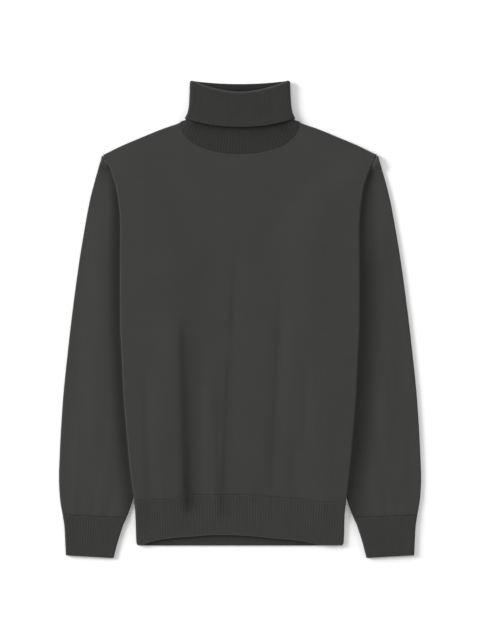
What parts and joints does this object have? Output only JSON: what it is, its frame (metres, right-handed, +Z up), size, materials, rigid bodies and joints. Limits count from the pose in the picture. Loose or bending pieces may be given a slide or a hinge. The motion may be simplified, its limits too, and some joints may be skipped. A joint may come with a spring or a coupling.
{
  "type": "turtleneck sweater",
  "caption": "Fine-knit turtleneck sweater laid flat, face up, with long sleeves down its sides, a turned-down rib collar and rib hem and cuffs.",
  "frame": {"origin": "middle of the sweater's outline, on the surface it lies on", "axes": "+X to the right as seen from above, +Y from hem to collar, +Z up from the surface, out of the front"},
  "size_m": [0.6002, 0.791, 0.01],
  "materials": {
    "jersey": "fine plain-knit wool, matt with a faint halo of fibres",
    "rib": "fine rib-knit wool, matt"
  },
  "bodies": {
    "root": {"back_panel": "jersey", "front_panel": "jersey", "sleeve_left": "jersey", "sleeve_right": "jersey", "hem_back": "rib", "hem_front": "rib", "cuff_left": "rib", "cuff_right": "rib", "collar": "rib"}
  },
  "joints": []
}
